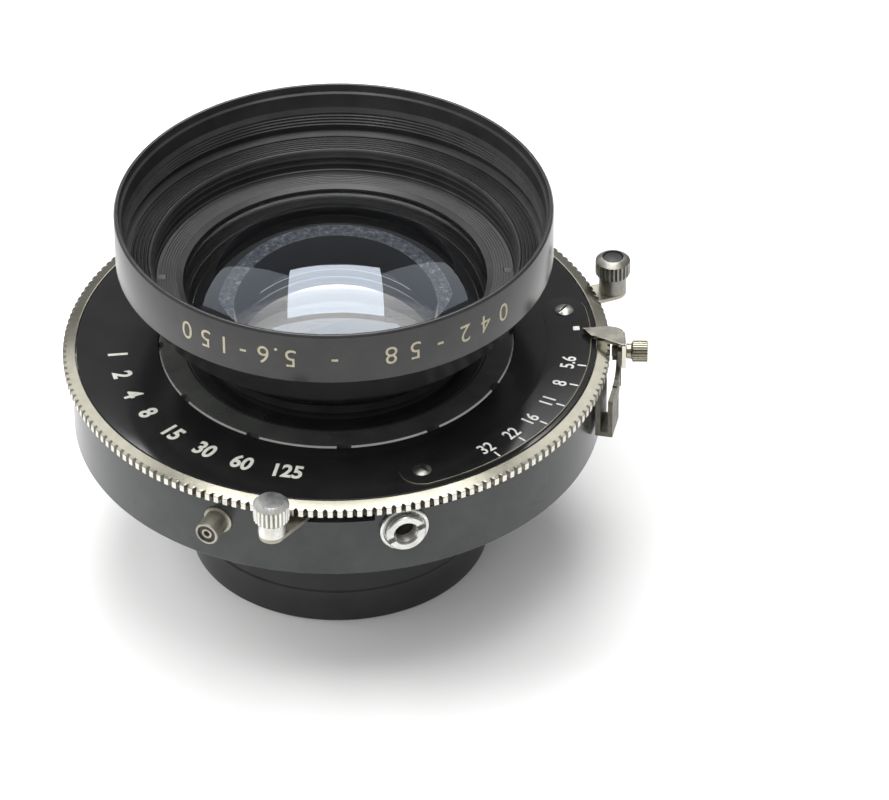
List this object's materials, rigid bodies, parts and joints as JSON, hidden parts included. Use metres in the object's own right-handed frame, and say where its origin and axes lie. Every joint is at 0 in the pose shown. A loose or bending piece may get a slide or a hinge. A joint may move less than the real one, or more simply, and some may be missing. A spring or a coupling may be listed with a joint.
{
  "type": "view camera lens in leaf shutter",
  "caption": "Large-format taking lens in a between-the-lens leaf shutter with iris, speed ring, release and press-focus levers, cable and flash sockets.",
  "frame": {"origin": "on the optical axis, in the plane of the rear barrel's rim, which it stands on", "axes": "+Z along the optical axis towards the subject, -Y towards the side with the release lever and sockets, +X towards the aperture pointer at its widest stop"},
  "size_m": [0.081, 0.0799, 0.0559],
  "materials": {
    "black_anodised": "satin black anodised",
    "black_paint": "semi-matte black",
    "nickel": "satin nickel plate",
    "bright_chrome": "polished chrome plate",
    "brass_part": "machined",
    "steel": "satin",
    "blade_steel": "blackened spring steel",
    "black_plastic": "matte",
    "coated_glass": "polished, blue anti-reflection coating"
  },
  "bodies": {
    "shutter_case": {"front_barrel": "black_anodised", "rear_barrel": "black_anodised", "front_glass": "coated_glass", "front_bonded_glass": "coated_glass", "front_inner_glass": "coated_glass", "rear_inner_glass": "coated_glass", "rear_bonded_glass": "coated_glass", "rear_glass": "coated_glass", "front_retaining_ring": "black_anodised", "front_inner_ring": "black_anodised", "rear_retaining_ring": "black_anodised", "rear_inner_ring": "black_anodised", "shutter_housing": "black_anodised", "iris_base_plate": "brass_part", "blade_base_plate": "brass_part", "mechanism_plate": "brass_part", "plate_pillars": "brass_part", "plate_screws": "steel", "face_plate": "black_paint", "aperture_scale_plate": "black_paint", "scale_screws": "steel", "face_lock_ring": "black_anodised", "mounting_lock_ring": "black_anodised", "sync_socket_shell": "bright_chrome", "sync_insulator": "black_plastic", "sync_contact": "bright_chrome", "cable_release_washer": "bright_chrome", "cable_release_nipple": "nickel", "governor_arbors": "steel"},
    "speed_ring_body": {"speed_ring": "nickel"},
    "aperture_body": {"aperture_lever": "nickel", "aperture_pointer": "nickel", "iris_drive_ring": "steel"},
    "clamp_screw_body": {"pointer_clamp_screw": "nickel"},
    "press_focus_body": {"press_focus_lever": "nickel", "press_focus_knob": "bright_chrome", "press_focus_cap": "black_plastic", "shutter_drive_ring": "steel"},
    "release_body": {"release_lever": "nickel", "release_knob": "bright_chrome"},
    "governor_wheel_body": {"governor_wheel": "brass_part"},
    "governor_fly_body": {"governor_fly": "brass_part"},
    "cable_plunger_body": {"cable_plunger": "steel"},
    "iris_blade_body_1": {"iris_blade_1": "blade_steel"},
    "shutter_blade_body_1": {"shutter_blade_1": "blade_steel"},
    "iris_blade_body_2": {"iris_blade_2": "blade_steel"},
    "shutter_blade_body_2": {"shutter_blade_2": "blade_steel"},
    "iris_blade_body_3": {"iris_blade_3": "blade_steel"},
    "shutter_blade_body_3": {"shutter_blade_3": "blade_steel"},
    "iris_blade_body_4": {"iris_blade_4": "blade_steel"},
    "shutter_blade_body_4": {"shutter_blade_4": "blade_steel"},
    "iris_blade_body_5": {"iris_blade_5": "blade_steel"},
    "shutter_blade_body_5": {"shutter_blade_5": "blade_steel"}
  },
  "joints": [
    {"name": "speed_ring_turn", "type": "hinge", "parent": "shutter_case", "child": "speed_ring_body", "pos_m": [0, 0, 0.0324], "axis": [0, 0, 1], "range_deg": [0, 126]},
    {"name": "aperture_lever_turn", "type": "hinge", "parent": "shutter_case", "child": "aperture_body", "pos_m": [0, 0, 0.0311], "axis": [0, 0, -1], "range_deg": [0, 53.5]},
    {"name": "iris_blade_1_turn", "type": "hinge", "parent": "shutter_case", "child": "iris_blade_body_1", "pos_m": [0.028, 0, 0.0228], "axis": [0, 0, 1], "range_deg": [-1.5, 28.1]},
    {"name": "iris_blade_2_turn", "type": "hinge", "parent": "shutter_case", "child": "iris_blade_body_2", "pos_m": [0.00865, 0.02663, 0.0228], "axis": [0, 0, 1], "range_deg": [-1.5, 28.1]},
    {"name": "iris_blade_3_turn", "type": "hinge", "parent": "shutter_case", "child": "iris_blade_body_3", "pos_m": [-0.02265, 0.01646, 0.0228], "axis": [0, 0, 1], "range_deg": [-1.5, 28.1]},
    {"name": "iris_blade_4_turn", "type": "hinge", "parent": "shutter_case", "child": "iris_blade_body_4", "pos_m": [-0.02265, -0.01646, 0.0228], "axis": [0, 0, 1], "range_deg": [-1.5, 28.1]},
    {"name": "iris_blade_5_turn", "type": "hinge", "parent": "shutter_case", "child": "iris_blade_body_5", "pos_m": [0.00865, -0.02663, 0.0228], "axis": [0, 0, 1], "range_deg": [-1.5, 28.1]},
    {"name": "clamp_screw_turn", "type": "hinge", "parent": "aperture_body", "child": "clamp_screw_body", "pos_m": [0.04095, -0.00207, 0.03175], "axis": [0.9987, -0.0506, 0], "range_deg": [0, 360]},
    {"name": "press_focus_turn", "type": "hinge", "parent": "shutter_case", "child": "press_focus_body", "pos_m": [0, 0, 0.0296], "axis": [0, 0, 1], "range_deg": [0, 14]},
    {"name": "shutter_blade_1_turn", "type": "hinge", "parent": "shutter_case", "child": "shutter_blade_body_1", "pos_m": [0.028, 0, 0.0253], "axis": [0, 0, 1], "range_deg": [-36.5, 2]},
    {"name": "shutter_blade_2_turn", "type": "hinge", "parent": "shutter_case", "child": "shutter_blade_body_2", "pos_m": [0.00865, 0.02663, 0.0253], "axis": [0, 0, 1], "range_deg": [-36.5, 2]},
    {"name": "shutter_blade_3_turn", "type": "hinge", "parent": "shutter_case", "child": "shutter_blade_body_3", "pos_m": [-0.02265, 0.01646, 0.0253], "axis": [0, 0, 1], "range_deg": [-36.5, 2]},
    {"name": "shutter_blade_4_turn", "type": "hinge", "parent": "shutter_case", "child": "shutter_blade_body_4", "pos_m": [-0.02265, -0.01646, 0.0253], "axis": [0, 0, 1], "range_deg": [-36.5, 2]},
    {"name": "shutter_blade_5_turn", "type": "hinge", "parent": "shutter_case", "child": "shutter_blade_body_5", "pos_m": [0.00865, -0.02663, 0.0253], "axis": [0, 0, 1], "range_deg": [-36.5, 2]},
    {"name": "release_turn", "type": "hinge", "parent": "shutter_case", "child": "release_body", "pos_m": [0, 0, 0.0303], "axis": [0, 0, 1], "range_deg": [0, 12.5], "stiffness_Nm_per_rad": 0.03, "springref_deg": -11.46},
    {"name": "governor_wheel_turn", "type": "hinge", "parent": "shutter_case", "child": "governor_wheel_body", "pos_m": [-0.02828, -0.01319, 0.0284], "axis": [0, 0, 1], "range_deg": [-117, 6]},
    {"name": "governor_fly_turn", "type": "hinge", "parent": "shutter_case", "child": "governor_fly_body", "pos_m": [-0.02619, -0.01838, 0.0284], "axis": [0, 0, 1], "range_deg": [-6, 156]},
    {"name": "cable_plunger_slide", "type": "slide", "parent": "shutter_case", "child": "cable_plunger_body", "axis": [-0.2317, 0.9728, 0], "range_m": [0, 0.0015], "stiffness_N_per_m": 120, "springref_m": -0.001}
  ],
  "couplings": [
    {"joint": "iris_blade_1_turn", "follows": "aperture_lever_turn", "ratio": 0.4972},
    {"joint": "iris_blade_2_turn", "follows": "aperture_lever_turn", "ratio": 0.4972},
    {"joint": "iris_blade_3_turn", "follows": "aperture_lever_turn", "ratio": 0.4972},
    {"joint": "iris_blade_4_turn", "follows": "aperture_lever_turn", "ratio": 0.4972},
    {"joint": "iris_blade_5_turn", "follows": "aperture_lever_turn", "ratio": 0.4972},
    {"joint": "shutter_blade_1_turn", "follows": "press_focus_turn", "ratio": -2.4643},
    {"joint": "shutter_blade_2_turn", "follows": "press_focus_turn", "ratio": -2.4643},
    {"joint": "shutter_blade_3_turn", "follows": "press_focus_turn", "ratio": -2.4643},
    {"joint": "shutter_blade_4_turn", "follows": "press_focus_turn", "ratio": -2.4643},
    {"joint": "shutter_blade_5_turn", "follows": "press_focus_turn", "ratio": -2.4643},
    {"joint": "governor_wheel_turn", "follows": "release_turn", "ratio": -8.75},
    {"joint": "governor_fly_turn", "follows": "release_turn", "ratio": 11.667}
  ]
}
